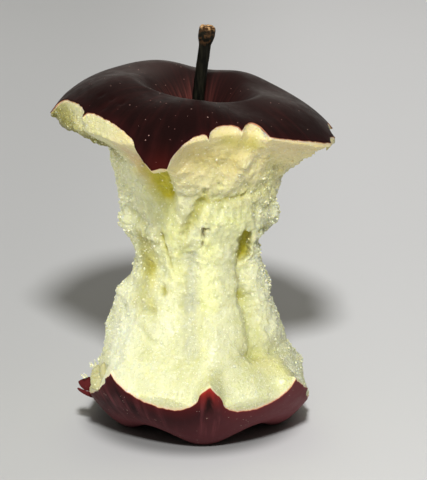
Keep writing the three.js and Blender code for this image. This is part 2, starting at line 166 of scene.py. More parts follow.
# ---- the core's form
def clamp(x):
    return np.clip(x, 0, 1)


def rise(x, a, b):
    """0 before a, 1 after b, smooth between."""
    t = clamp((x - a) / (b - a))
    return t * t * (3 - 2 * t)


def hump(x, centre, width, power=2):
    """1 at the centre, falling off smoothly to either side."""
    return np.exp(-(np.abs((x - centre) / width) ** power))


def cos_deg(angle):
    return np.cos(np.radians(angle))


def sin_deg(angle):
    return np.sin(np.radians(angle))


def norm(vectors):
    return np.linalg.norm(vectors, axis=-1)


def unit(vectors):
    return vectors / np.maximum(norm(vectors), 1e-9)[..., None]


def round_crown(rho):
    inner = HEIGHT - CAVITY_DEPTH * (1 - clamp(rho / CREST_R) ** CAVITY_POWER) ** CAVITY_STEEP
    q = clamp((rho - CREST_R) / (EQUATOR_R - CREST_R))
    outer = EQUATOR_Z + (HEIGHT - EQUATOR_Z) * (1 - q ** SHOULDER_POWER) ** (1 / SHOULDER_POWER)
    return np.where(rho < CREST_R, inner, outer)


def crown_height(rho, azimuth):
    lobe = cos_deg(LOBES * (azimuth - CREST_AZ))
    lift = CREST_TILT * sin_deg(azimuth) + CREST_RISE * lobe
    left = clamp(-cos_deg(azimuth))
    swell = (CREST_SWELL * lobe + CREST_LEFT * left) * hump(rho, 13, 7)
    return round_crown(rho / (1 + swell)) + lift * hump(rho, 16, 8)


def base_height(rho, azimuth):
    inner = BASIN_DEPTH * (1 - clamp(rho / FOOT_R) ** 2) ** 1.5
    q = clamp((rho - FOOT_R) / (EQUATOR_R - FOOT_R))
    outer = EQUATOR_Z * (1 - (1 - q ** BASE_POWER) ** (1 / BASE_POWER))
    valley = 0.5 - 0.5 * cos_deg(LOBES * (azimuth - LOBE_AZ))
    z = np.where(rho < FOOT_R, inner, outer) + LOBE_RISE * valley * hump(rho, 17, 9)
    return np.maximum(z - FOOT_FLAT, 0)


def polar(rho, azimuth, z):
    return np.stack([rho * cos_deg(azimuth), rho * sin_deg(azimuth), z + 0 * (rho * azimuth)], -1)


def leaned(points):
    points = points.copy()
    points[..., 2] -= LEAN * points[..., 0] * rise(points[..., 2], LEAN_FROM, LEAN_TO)
    return points


def edge_radius(bites, azimuth):
    """Radius of a bitten skin edge: a half-oval bite from each cusp to the next."""
    turn = bites[0][0]
    azimuth = (np.asarray(azimuth, float) - turn) % 360 + turn
    radius = np.zeros_like(azimuth)
    ring = bites + [(turn + 360, *bites[0][1:])]
    for (a0, r0, depth, *deepest), (a1, r1, *_) in zip(ring, ring[1:]):
        inside = (azimuth >= a0) & (azimuth <= a1)
        u = (azimuth[inside] - a0) / (a1 - a0)
        v = u ** (math.log(0.5) / math.log(deepest[0] if deepest else 0.5))
        radius[inside] = r0 + (r1 - r0) * u - depth * np.sqrt(clamp(1 - (2 * v - 1) ** 2))
    return radius


def even_radius(bites, azimuth):
    return sum(edge_radius(bites, azimuth + k * EVEN_TURN / 8) for k in range(-4, 5)) / 9


def wall_sizes(azimuth):
    """The wall's eight sizes at any azimuth, joined smoothly around."""
    count = len(WALL)
    f = (np.asarray(azimuth, float) + 180) % 360 / 360 * count
    i = np.floor(f).astype(int)
    t = (f - i)[..., None]
    a, b, c, d = (WALL[(i + j) % count] for j in (-1, 0, 1, 2))
    sizes = b + 0.5 * t * (c - a + t * (2 * a - 5 * b + 4 * c - d + t * (3 * (b - c) + d - a)))
    return np.moveaxis(sizes, -1, 0)


def wall_ends(top_azimuth, low_azimuth):
    """Radius and height of the crown's edge, of the same edge evened out, and of the base's two."""
    ends = []
    for bites, height, azimuth in (
        (CROWN_BITES, crown_height, top_azimuth),
        (BASE_BITES, base_height, low_azimuth),
    ):
        for radius in (edge_radius(bites, azimuth), even_radius(bites, azimuth)):
            ends.append((radius, height(radius, azimuth)))
    return ends


def wall_radius(azimuth, z, ends):
    """Radius of the plain bitten wall: an even flare, drawn to the skin edges close to them."""
    rim, share, power, waist, waist_z, low_share, low_power, low_rim = wall_sizes(azimuth)
    (top, top_z), (even_top, even_top_z), (low, low_z), (even_low, even_low_z) = ends

    def up_to(end, height):
        return clamp((height - waist_z) / (end - rim - waist_z))

    def down_to(end, height):
        return clamp((waist_z - height) / (waist_z - end - low_rim))

    def even(height):
        up, down = up_to(even_top_z, height), down_to(even_low_z, height)
        return (waist + (even_top - waist) * (share * up + (1 - share) * up ** power)
                + (even_low - waist) * (low_share * down + (1 - low_share) * down ** low_power))

    return (even(z) + (top - even(top_z)) * up_to(top_z, z) ** EVEN_POWER
            + (low - even(low_z)) * down_to(low_z, z) ** EVEN_POWER)


def wall_point(azimuth, z):
    azimuth = np.array([azimuth], float)
    return polar(wall_radius(azimuth, np.array([float(z)]), wall_ends(azimuth, azimuth)), azimuth, z)[0]


def column_azimuths(bites, count):
    """Azimuths of a mesh's columns, with one on every cusp."""
    stops = np.array([bite[0] for bite in bites] + [bites[0][0] + 360.0])
    at = np.round((stops - stops[0]) / 360 * count).astype(int)
    for i in range(1, len(at)):
        at[i] = max(at[i], at[i - 1] + 1)
    return np.interp(np.arange(count), at, stops)


def stroke_sum(points, strokes):
    """What the strokes add up to at each point, each fading out from its own line on the wall."""
    total = np.zeros(points.shape[:-1])
    for a0, z0, a1, z1, width, amount, *steepness in strokes:
        start, end = wall_point(a0, z0), wall_point(a1, z1)
        along = end - start
        t = clamp(((points - start) @ along) / (along @ along))
        reach = norm(points - start - t[..., None] * along) / width
        steep = steepness[0] if steepness else 2
        total += np.where(reach < 3, amount * np.exp(-(np.minimum(reach, 3) ** steep)), 0)
    return total


# ---- noise
def mixed_key(table, cell):
    """A number from 0 to 255 for each whole-numbered cell of space."""
    return table[(table[(table[cell[..., 0] & 255] + cell[..., 1]) & 255] + cell[..., 2]) & 255]


def perlin(points, size, seed):
    """Smooth noise of about -1 to 1 with features of the given size in mm."""
    rng = np.random.default_rng(seed)
    slopes = unit(rng.normal(size=(256, 3)))
    table = rng.permutation(256)
    p = points / size
    cell = np.floor(p).astype(int)
    f = p - cell
    w = f ** 3 * (f * (f * 6 - 15) + 10)
    total = np.zeros(points.shape[:-1])
    for corner in itertools.product((0, 1), repeat=3):
        weight = np.prod(np.where(corner, w, 1 - w), -1)
        total += weight * ((f - corner) * slopes[mixed_key(table, cell + corner)]).sum(-1)
    return 1.6 * total


def wander(points, size, seed):
    """A smooth shift of each point in three directions."""
    return np.stack([perlin(points, size, seed + k) for k in range(3)], -1)


def fractal(points, size, seed, octaves):
    return sum(perlin(points, size / 2 ** k, seed + k) / 2 ** k for k in range(octaves))


def cells(points, size, seed):
    """Distance to the nearest and second nearest of scattered points, and a number for the nearest."""
    rng = np.random.default_rng(seed)
    jitter = rng.random((256, 3))
    table = rng.permutation(256)
    p = points / size
    base = np.floor(p).astype(int)
    first = np.full(points.shape[:-1], 9.0)
    second = first.copy()
    number = np.zeros(points.shape[:-1], int)
    for corner in itertools.product((-1, 0, 1), repeat=3):
        key = mixed_key(table, base + corner)
        distance = norm(base + corner + jitter[key] - p)
        nearer = distance < first
        second = np.where(nearer, first, np.minimum(second, distance))
        number = np.where(nearer, key, number)
        first = np.where(nearer, distance, first)
    return first * size, second * size, number


def facets(points, size, seed, crack):
    """Broken facets between -0.5 and 0.5: level within each cell, and 0 at the cracks between them."""
    near, next_, number = cells(points, size, seed)
    return (number % 16 / 15 - 0.5) * rise(next_ - near, 0, crack)


def torn_edge(bites, columns, seed, inside):
    """Radius and azimuth around a bitten skin edge, with its small unevenness, drawn in a little."""
    azimuth = column_azimuths(bites, columns)
    points = polar(30, azimuth, 0)
    ragged = 0.16 * perlin(points, 1.6, seed) + 0.1 * perlin(points, 0.7, seed + 1)
    return edge_radius(bites, azimuth) + ragged - inside, azimuth


# ---- meshes
cusp_azimuth, cusp_radius = np.array([bite[:2] for bite in CROWN_BITES]).T
crown_cusps = polar(cusp_radius, cusp_azimuth, 0)
# the apple's own axis in the part's frame, from the cusps that reach furthest
AXIS = np.array(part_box("apple_core")[0]) / MM - [*crown_cusps[:, :2].min(0), 0]


def to_frame(points):
    return (np.asarray(points) + AXIS) * MM


def in_scene(name, data):
    thing = bpy.data.objects.new(name, data)
    scene.collection.objects.link(thing)
    return thing


def make_mesh(name, points, quads, triangles=()):
    mesh = bpy.data.meshes.new(name)
    faces = [list(map(int, q)) for q in quads] + [list(map(int, t)) for t in triangles]
    mesh.from_pydata(to_frame(points).tolist(), [], faces)
    mesh.update()
    mesh.polygons.foreach_set("use_smooth", np.ones(len(mesh.polygons), bool))
    return in_scene(name, mesh)


def closed_grid(rings, top, bottom):
    """Points, quads and triangles of a surface: a point, rings going down, and a point."""
    rows, columns = rings.shape[:2]
    points = np.vstack([top[None], rings.reshape(-1, 3), bottom[None]])
    index = 1 + np.arange(rows * columns).reshape(rows, columns)
    right = np.roll(index, -1, axis=1)
    quads = np.stack([index[:-1], index[1:], right[1:], right[:-1]], -1).reshape(-1, 4)
    last = len(points) - 1
    caps = [(0, a, b) for a, b in zip(index[0], right[0])]
    caps += [(last, b, a) for a, b in zip(index[-1], right[-1])]
    return points, quads, caps


def grid_piece(name, rings, top, bottom):
    return make_mesh(name, *closed_grid(rings, top, bottom))


def paint(piece, name, values):
    layer = piece.data.attributes.new(name, "FLOAT", "POINT")
    layer.data.foreach_set("value", np.asarray(values, np.float32))


def paint_rings(piece, shape, layers, top=None):
    """Named values for the rings of a closed grid, and for its two end points."""
    for name, values in layers.items():
        values = np.broadcast_to(values, shape)
        first = values[0].mean() if top is None else top
        paint(piece, name, np.concatenate([[first], values.ravel(), [values[-1].mean()]]))


def grid_normals(points):
    """Outward normals of a grid whose rows go down and whose columns go round."""
    around = np.roll(points, -1, 1) - np.roll(points, 1, 1)
    return unit(np.cross(np.gradient(points, axis=0), around))


# ---- crown and base surfaces
SKIN = 0.36  # thickness of the skin
BEDDED = 0.3  # how far under the skin's outer face the flesh starts at the cut edges
SUNK = 1.2  # and how much further under it elsewhere
SKIN_INSIDE, FLESH_INSIDE = 0.03, 0.15  # how far the edges are drawn in from the bites' own line
CROWN_SEED, BASE_SEED = 3, 5
PEAK_AZ = -86.5  # the peak of skin in the middle of the base's front
DENT_AZ, DENT_R = -86.2, 30.4  # the dent under it
PAINTED_SHEEN_R = 17.5  # where the crown's painted sheen is strongest
# Dents in the crown: azimuth, radius, width, depth
CROWN_DENTS = [(-142, 27.5, 1, 0.45), (-136, 24.5, 0.8, 0.4), (-151, 25.5, 0.7, 0.3), (-143, 24.8, 0.6, 0.3)]


def crown_surface(rho, azimuth):
    """Outer face of the crown's skin, with its soft folds and dents, in mm."""
    points = leaned(polar(rho, azimuth, crown_height(rho, azimuth)))
    points[..., 2] += 0.22 * perlin(points, 9, 11) * rise(rho, 3, 10)
    for a, r, width, depth in CROWN_DENTS:
        away = norm(points[..., :2] - polar(r, a, 0)[:2])
        points[..., 2] -= depth * hump(away, 0, width)
    return points


def base_surface(rho, azimuth):
    """Outer face of the base's skin, in mm."""
    points = polar(rho, azimuth, base_height(rho, azimuth))
    dent = 0.7 * hump(azimuth, DENT_AZ, 1.2) * hump(rho, DENT_R, 1.4)
    dent += 0.12 * perlin(points, 8, 21) * rise(rho, 20, 26)
    return points - polar(dent, azimuth, 0)


def spread(inner, outer, share):
    """Radii from the centre out: even rings to inner, then on to the skin edge."""
    split = 0.42
    beyond = inner + (outer - inner) * (share - split) / (1 - split)
    return np.where(share < split, inner * share / split, beyond)


# Redder places on the crown: azimuth, radius, spread around and outwards, amount
BLUSHES = [(-104.6, 36.0, 6.0, 3.4, 0.45), (-86.5, 29.4, 2.6, 1.6, 0.5), (-69.0, 26.4, 2.0, 1.3, 0.5)]


def skin_piece(name, surface, bites, inner, side, seed, columns=420, rings=64):
    """A thin shell over the crown (side 1) or under the base (side -1), with its cut edge."""
    edge, azimuth = torn_edge(bites, columns, seed, SKIN_INSIDE)
    share = np.linspace(0, 1, rings + 1)[1:, None]
    outer = surface(spread(inner, edge, share), azimuth)
    normals = side * grid_normals(outer)
    normals[-1] = normals[-2]
    under = outer - SKIN * normals
    lip = outer[-1:] - 0.5 * SKIN * normals[-1:] + 0.1 * polar(1, azimuth, 0)[None]
    sheet = np.concatenate([outer, lip, under[::-1]])
    cut = np.concatenate([np.zeros(rings), np.ones(rings + 1)])[:, None]
    centre = surface(0, 0)
    ends = [centre, centre - side * SKIN * UP]
    if side < 0:
        sheet, cut, ends = sheet[::-1], cut[::-1], ends[::-1]
    piece = grid_piece(name, sheet, *ends)

    rho = norm(sheet[..., :2])
    on_crown, on_base = (side > 0) * (1 - cut), (side < 0) * (1 - cut)
    peak = hump(azimuth + 1.5 * perlin(sheet, 1, 15), PEAK_AZ, 5) * hump(rho, 33, 1.9)
    # mask of the dent under the peak, which takes painted shade
    dent = hump(azimuth + 0.8 * perlin(sheet, 0.8, 16), DENT_AZ, 1.5, 4) * hump(rho, DENT_R, 1.3, 4)
    blush = sum(amount * hump(azimuth, a, turn) * hump(rho, r, width)
                for a, r, turn, width, amount in BLUSHES)
    # painted sheen on the crest, at its back left and a little at its right: a pale grey standing in for the
    # reflection of the bright wall behind
    painted_sheen = hump(rho, PAINTED_SHEEN_R, np.where(rho < PAINTED_SHEEN_R, 6.5, 5))
    painted_sheen *= np.exp(3.2 * (cos_deg(azimuth - 135) - 1)) + 0.5 * np.exp(4 * (cos_deg(azimuth) - 1))
    painted_sheen *= 0.85 + 0.5 * perlin(sheet, 7, 17)
    paint_rings(piece, rho.shape, {
        "cut": cut, "to_edge": np.clip(edge - rho, 0, 40), "radius": rho,
        "peak": peak * on_base, "dent": 0.9 * dent * on_base,
        "blush": clamp(blush) * on_crown, "painted_sheen": clamp(painted_sheen) * on_crown,
        "around_x": cos_deg(azimuth), "around_y": sin_deg(azimuth),
    })
    return piece


# ---- flesh
FLESH_COLUMNS = 400
FLESH_ROWS = 226
UNDER_ROWS = 7


def plain_wall(columns, rows):
    """The wall before any stroke, its rows evenly apart down each column, and the columns' lengths."""
    top_azimuth, low_azimuth = column_azimuths(CROWN_BITES, columns), column_azimuths(BASE_BITES, columns)
    ends = wall_ends(top_azimuth, low_azimuth)
    t = np.linspace(0, 1, 700)[:, None]
    azimuth = top_azimuth + (low_azimuth - top_azimuth) * t
    top_z, low_z = ends[0][1], ends[2][1]
    z = top_z + (low_z - top_z) * t
    fine = polar(wall_radius(azimuth, z, ends), azimuth, z)
    step = norm(np.diff(fine, axis=0))
    length = np.vstack([np.zeros(columns), np.cumsum(step, 0)])
    wanted = np.linspace(0, 1, rows)
    wall = np.empty((rows, columns, 3))
    for j in range(columns):
        for k in range(3):
            wall[:, j, k] = np.interp(wanted * length[-1, j], length[:, j], fine[:, j, k])
    return wall, length[-1]


def smoothed_round(points, width):
    """A grid's points averaged along its rows, over a Gaussian of the given width in degrees."""
    turns = np.fft.fftfreq(points.shape[1], 1 / points.shape[1])
    keep = np.exp(-0.5 * (np.radians(width) * turns) ** 2)
    return np.fft.ifft(np.fft.fft(points, axis=1) * keep[None, :, None], axis=1).real


def torn_share(wall, sideways, to_skin, from_low):
    """How torn each place is: clean over the lowest bites, roughest at the sides."""
    torn = rise(to_skin, 1.2, 12 - 8 * rise(sideways, 0.4, 0.9)) * (0.25 + 0.75 * rise(sideways, 0.45, 0.95))
    at_side = rise(sideways, 0.5, 0.8)
    torn *= rise(from_low, 5 - 3 * at_side, 18 - 9 * at_side)
    return torn * np.clip(0.75 + 0.5 * perlin(wall, 12, 31), 0.2, 1)


def flesh_surface():
    """The bitten wall as a grid of points, and what each place on it is like."""
    wall, length = plain_wall(FLESH_COLUMNS, FLESH_ROWS)
    share = np.linspace(0, 1, FLESH_ROWS)[:, None]
    from_top, from_low = share * length, (1 - share) * length
    to_skin = np.minimum(from_top, from_low)
    # the cusps of skin leave no creases further in
    wall += rise(to_skin, 0.4, 3.5)[..., None] * (smoothed_round(wall, 3) - wall)
    wall += rise(to_skin, 2.5, 12)[..., None] * (smoothed_round(wall, 8) - wall)
    normals = grid_normals(wall)
    normals[[0, -1]] = normals[[1, -2]]
    across = wall[..., 0] / np.hypot(wall[..., 0], wall[..., 1])

    shift = wander(wall, 1.5, 35)
    fade = rise(to_skin, 0.3, 3)
    carve = fade * (stroke_sum(wall + 0.45 * shift, MARKS) + stroke_sum(wall + 0.22 * shift, FINE_MARKS))
    points = wall - normals * carve[..., None]
    hole = fade * stroke_sum(wall + 0.55 * shift, [HOLE])
    points[..., 1] += HOLE_SEEN * hole

    torn = torn_share(wall, np.abs(across), to_skin, from_low)
    warped = points + 0.9 * wander(points, 3, 45)
    chips, crumbs = facets(warped, 2.6, 48, 0.7), facets(warped, 1.1, 51, 0.35)
    out = torn * (0.7 * fractal(points, 5, 41, 3) + 0.45 * chips + 0.55 * crumbs)
    lumps = 0.14 * perlin(points * [1, 1, 0.3], 1.4, 61) + 0.22 * fractal(points, 6, 65, 3)
    out += rise(to_skin, 1, 8) * lumps
    # the upper half is broken into facets between the tooth marks
    broken = rise(from_top, 3, 11) * rise(from_low, 14, 34) * (1 - 0.8 * torn)
    out += broken * (0.4 * chips + 0.16 * crumbs + 0.3 * fractal(points, 2.6, 63, 2))
    out += (0.07 + 0.22 * torn) * fractal(points, 0.8, 71, 2)
    out *= rise(to_skin, 0.1, 1.6)
    points = leaned(points + normals * out[..., None])

    # the rims meet the skins' cut edges
    top = torn_edge(CROWN_BITES, FLESH_COLUMNS, CROWN_SEED, FLESH_INSIDE)
    low = torn_edge(BASE_BITES, FLESH_COLUMNS, BASE_SEED, FLESH_INSIDE)
    points += np.exp(-from_top / 0.8)[..., None] * (crown_surface(*top) - BEDDED * UP - points[:1])
    points += np.exp(-from_low / 0.8)[..., None] * (base_surface(*low) + BEDDED * UP - points[-1:])
    tints = {name: clamp(stroke_sum(wall + 0.4 * shift, strokes)) for name, strokes in TINTS.items()}
    in_hole = hole / HOLE[5]
    tints["warm"] = 0.95 * rise(from_top, 26, 5) * (1 - 0.7 * rise(-across, 0.35, 0.75))
    tints["olive"] = np.maximum(tints["olive"], in_hole)
    # painted shade deep in the hole
    tints["dark"] = np.maximum(tints["dark"], 0.1 * rise(in_hole, 0.3, 0.9))
    return dict(points=points, to_skin=to_skin, from_low=from_low, from_top=from_top, torn=torn,
                hollow=carve - out, top=top, low=low, tints=tints)


def flesh_piece(surface):
    """The flesh as one closed solid: the bitten wall, and the faces bedded under the two skins."""
    shares = np.linspace(0, 1, UNDER_ROWS + 2)[1:-1, None]
    sunk = (BEDDED + SUNK * rise(1 - shares, 0, 0.15))[..., None] * UP
    (top_edge, top_azimuth), (low_edge, low_azimuth) = surface["top"], surface["low"]
    crown = crown_surface(spread(CREST_R, top_edge, shares), top_azimuth) - sunk
    base = base_surface(spread(FOOT_R, low_edge, shares), low_azimuth) + sunk
    rings = np.concatenate([crown, surface["points"], base[::-1]])
    deep = (BEDDED + SUNK) * UP
    piece = grid_piece("flesh", rings, crown_surface(0, 0) - deep, base_surface(0, 0) + deep)
    layers = {**surface["tints"], **{key: surface[key] for key in ("to_skin", "torn", "hollow")}}
    for name, values in layers.items():
        layers[name] = np.zeros(rings.shape[:2])
        layers[name][UNDER_ROWS:-UNDER_ROWS] = np.clip(values, -3, 30)
    paint_rings(piece, rings.shape[:2], layers)
    return piece


def pebble(subdivisions):
    """Points and triangles of a small round body of radius 1."""
    body = bmesh.new()
    bmesh.ops.create_icosphere(body, subdivisions=subdivisions, radius=1)
    points = np.array([vertex.co for vertex in body.verts])
    triangles = np.array([[vertex.index for vertex in face.verts] for face in body.faces])
    body.free()
    return points, triangles


def bodies_piece(name, points, triangles):
    """Many small bodies with the same triangles as one piece."""
    faces = triangles + points.shape[1] * np.arange(len(points))[:, None, None]
    return make_mesh(name, points.reshape(-1, 3), faces.reshape(-1, 3))


def crumbs_piece(name, surface, weight, count, smallest, largest, subdivisions, seed):
    """Loose crumbs of flesh stuck to the bitten wall, more of them where the weight is greater."""
    rng = np.random.default_rng(seed)
    grid = surface["points"]
    normals = grid_normals(grid).reshape(-1, 3)
    area = norm(np.cross(np.gradient(grid, axis=0), np.gradient(grid, axis=1)))
    chance = (weight * area).ravel()
    at = rng.choice(chance.size, count, p=chance / chance.sum())
    shape, triangles = pebble(subdivisions)
    size = smallest + (largest - smallest) * rng.random(count) ** 2
    stretch = rng.uniform(0.65, 1.25, (count, 1, 3))
    turn = np.linalg.qr(rng.normal(size=(count, 3, 3)))[0]
    lumpy = shape * rng.uniform(0.72, 1.15, (count, len(shape), 1)) * stretch
    centre = grid.reshape(-1, 3)[at] + normals[at] * (size * rng.uniform(-0.45, 0.25, count))[:, None]
    points = centre[:, None] + size[:, None, None] * np.einsum("nij,nkj->nki", turn, lumpy)
    piece = bodies_piece(name, points, triangles)
    layers = {tint: 0.7 * amounts for tint, amounts in surface["tints"].items()}
    layers["to_skin"] = np.clip(surface["to_skin"], 2, 30)
    # the crumbs stand proud, so they take the painted light of raised places
    layers["hollow"] = np.clip(surface["hollow"], -1, 2) - 0.6
    for layer, values in layers.items():
        paint(piece, layer, np.repeat(values.ravel()[at], len(shape)))
    return piece


# Tints of the flesh: strokes as above, with an amount in place of a depth
TINTS = {
    # painted shade: in pits, at the hole's edge, in two streaks on the left side and under the crown's left
    # tip
    "dark": [
        (-56.4, 46.4, -55.2, 43.6, 0.5, 0.45), (-57.5, 36.2, -56.4, 33.6, 0.6, 0.2),
        (-178, 69, -158, 67, 5, 0.78, 3), (-146, 46, -146, 40.5, 2.8, 0.26, 4),
        (-146, 40, -143, 33, 2.6, 0.1, 3), (-120.4, 36.2, -119.8, 35.2, 0.7, 0.3),
        (-38.1, 18.2, -37, 17.2, 0.4, 0.4),
    ],
    # the flesh's olive tone in the pocket and the hole, and painted shade along the cleft, under the ledge
    # and in the folds on the left
    "olive": [
        (-123, 62.5, -121, 58, 3, 0.9, 3), (-119, 61.5, -118, 58, 2, 1, 3), (-77, 75.2, -62, 74.4, 2, 0.6),
        (-90, 70, -72, 70, 3.4, 0.35), (-146, 46, -146, 40.5, 3, 0.4, 4),
        (-146, 40, -143, 33, 2.6, 0.22, 3), (-178, 69.5, -158, 67.5, 5, 0.4, 3),
        (-52.8, 49, -53.3, 44.4, 1.7, 1, 4), (-89, 57.8, -103, 50, 1, 0.55),
        (-88, 58.2, -76, 58.4, 0.5, 0.4), (-76, 58.6, -53, 60.6, 0.6, 0.4),
        (-125, 48.6, -121, 45.4, 0.5, 0.8), (-121, 45.4, -116, 41.5, 0.5, 0.5),
        (-131, 33, -124, 31.5, 1.3, 0.4), (-56, 21, -44, 19, 3, 0.35),
        (-120.4, 36.2, -119.8, 35.2, 0.7, 0.8), (-54, 35.6, -53, 34.4, 0.8, 0.7),
        (-85.5, 59.6, -84.5, 59.2, 0.7, 0.6), (-60, 76, -56, 74, 1.2, 0.3), (-140, 40, -134, 36, 1.6, 0.3),
    ],
    "grey": [
        (-99, 44, -98, 34, 1.8, 0.8, 3), (-98, 34, -96, 24, 2, 0.7, 3), (-103, 60, -97, 51, 3, 0.45),
        (-152, 36, -142, 22, 3, 0.4), (-150, 58, -140, 50, 3, 0.35), (-28, 47, -30, 42, 2, 0.6),
        (-18, 17, -8, 14, 3, 0.25), (-30, 38, -26, 22, 3.6, 0.45), (-178, 31, -160, 24, 4, 0.35),
    ],
    "white": [
        (-150, 24, -128, 16, 6, 1, 3), (-36, 17, -26, 13, 3.6, 1, 3), (-92, 43, -90, 37, 3.4, 0.35, 3),
        (-74, 15, -52, 13, 4, 0.3), (-120, 16, -95, 12, 4, 0.3), (-165, 36, -150, 28, 3, 0.4),
        (-30, 38, -24, 24, 3.4, 0.5), (-112, 30, -108, 18, 3, 0.2), (-150, 62, -138, 54, 4, 0.3),
    ],
    "yellow": [
        (-87.4, 24.6, -87, 23.2, 0.8, 0.7), (-84, 48, -84, 34, 2.4, 0.45), (-112, 50, -108, 40, 2.6, 0.25),
        (-80, 54, -60, 53, 3, 0.25),
    ],
    "tan": [
        (-126, 69, -122, 64, 3.4, 0.85), (-129, 66, -126, 60, 2, 0.6), (-98, 74, -92, 70, 3, 0.45),
        (-84, 70.5, -74, 69, 3, 0.35), (-46, 75, -30, 74, 4, 0.35),
    ],
    "brown": [
        (-87.3, 52, -88.6, 46.9, 0.26, 0.9), (-88, 52, -83.3, 52.2, 0.24, 0.8),
        (-45, 17.6, -41, 17.2, 0.8, 0.7), (-58, 40, -57, 38.6, 0.6, 0.6),
        (-47, 15.5, -43, 14.5, 1.6, 0.25),
    ],
}


# ---- torn bits and lenticels
def curve(t, start, bend, end):
    return (1 - t) ** 2 * start + 2 * t * (1 - t) * bend + t ** 2 * end


def tube(spine, across, half_widths, half_depths, lumps, seed, rows=40, columns=28):
    """Rings of a body along a curve through three points, wide along one direction, flat along another."""
    start, middle, end = (np.array(point, float) for point in spine)
    t = np.linspace(0, 1, rows)[:, None]
    centre = curve(t, start, 2 * middle - 0.5 * (start + end), end)
    across = unit(np.array(across, float))
    facing = unit(np.cross(across, end - start))
    stops = np.linspace(0, 1, len(half_widths))
    rounding = np.sqrt(1 - (2 * np.clip(t, 0.02, 0.98) - 1) ** 8)
    a = np.linspace(0, 2 * math.pi, columns, endpoint=False)
    width = np.interp(t, stops, half_widths) * rounding * np.cos(a)
    depth = np.interp(t, stops, half_depths) * rounding * np.sin(a)
    out = width[..., None] * across + depth[..., None] * facing
    rings = centre[:, None] + out
    rough = lumps * (perlin(rings, 1.4, seed) + 0.6 * perlin(rings, 0.6, seed + 1))
    return rings + rough[..., None] * unit(out)


def tubes_piece(name, tubes, levels):
    """Several closed tubes as one piece, with a value painted on for each name in levels."""
    points, quads, caps, count = [], [], [], 0
    for rings in tubes:
        p, q, c = closed_grid(rings, rings[0].mean(0), rings[-1].mean(0))
        points.append(p)
        quads.append(q + count)
        caps.extend([(i + count, j + count, k + count) for i, j, k in c])
        count += len(p)
    piece = make_mesh(name, np.vstack(points), np.vstack(quads), caps)
    body = bmesh.new()
    body.from_mesh(piece.data)
    bmesh.ops.recalc_face_normals(body, faces=body.faces)
    body.to_mesh(piece.data)
    body.free()
    for level, value in levels.items():
        paint(piece, level, np.full(count, value))
    return piece


def torn_flesh():
    """The torn wedge of flesh over the base's skin, and the hook under the crown's right tip."""
    wedge = tube([(-23.9, -12.8, 17), (-24, -16, 15), (-23.5, -18.6, 13)], (1, -0.35, 0.1),
                 [1, 1.6, 1.8, 1.5], [0.8, 1.1, 1.1, 0.8], 0.26, 121, 60, 48)
    neck = tube([(-22.4, -13.5, 18), (-22.6, -15.8, 15.6), (-22.2, -18.2, 13.4)], (1, -0.6, 0),
                [0.7, 1.2, 1.2], [0.7, 1, 0.8], 0.25, 123, 50, 36)
    hook = tube([(29.6, -4.4, 69.6), (29.7, -4.2, 68.3), (29.1, -4, 66.7)], (1, 0, 0),
                [1.3, 0.8, 0.12], [0.7, 0.5, 0.1], 0.12, 125)
    levels = {"to_skin": 5, "hollow": 0.5, "tan": 0.25, "olive": 0.25, "grey": 0.9, "dark": 0.24}
    return tubes_piece("torn_flesh", [wedge, neck, hook], levels)


def shreds():
    """Curled white fibres that stand up from the torn wedge."""
    rng = np.random.default_rng(131)
    tubes = []
    for k in range(15):
        left = k % 3 == 0
        root = np.array([-26.6, -9.5, 12.9] if left else [-24.9, -13, 16.4])
        root = root + rng.normal(size=3) * [0.6, 0.3, 0.25]
        reach = np.array([-1.3, 0, 0.8] if left else [rng.uniform(-0.9, 0.3), 0, rng.uniform(0.8, 1.9)])
        bend = rng.normal(size=3) * [0.35, 0.2, 0.3]
        width = rng.uniform(0.09, 0.16)
        end = root + reach + 0.6 * rng.normal(size=3) * [0.5, 0.2, 0.4]
        spine = [root, root + 0.5 * reach + bend, end]
        sizes = [width, width, 0.4 * width]
        tubes.append(tube(spine, (0.3, 1, 0.2), sizes, sizes, 0.03, 133 + k, 14, 8))
    return tubes_piece("flesh_shreds", tubes, {"to_skin": 5, "hollow": -0.9, "grey": 0.4})


def skin_flap():
    """Two torn tongues of skin, one over the other, at the lower left."""
    upper = tube([(-24.8, -8.6, 10.9), (-27, -8.9, 11), (-28.9, -8.2, 11.2)], (0.25, 0.1, 1),
                 [2.2, 1.8, 1.7, 1.05, 0.35], [0.2, 0.2, 0.2, 0.16, 0.12], 0.05, 141, 40, 32)
    lower = tube([(-25, -9.4, 8), (-27.2, -9.4, 8.9), (-29.1, -8.9, 9.85)], (0.45, 0.3, 1),
                 [0.6, 0.5, 0.32], [0.22, 0.2, 0.14], 0.05, 143, 40, 28)
    levels = {"to_edge": 1.6, "radius": 30, "around_x": -0.95, "around_y": -0.3, "peak": 0.12}
    return tubes_piece("skin_flap", [upper, lower], levels)


def surface_patch(surface, rho, azimuth, step=0.1):
    """Points of a skin with its outward normal and two directions along it."""
    centre = surface(rho, azimuth)
    along = unit(surface(rho + step, azimuth) - centre)
    normal = unit(np.cross(along, surface(rho, azimuth + step) - centre))
    return centre, normal, along, np.cross(normal, along)


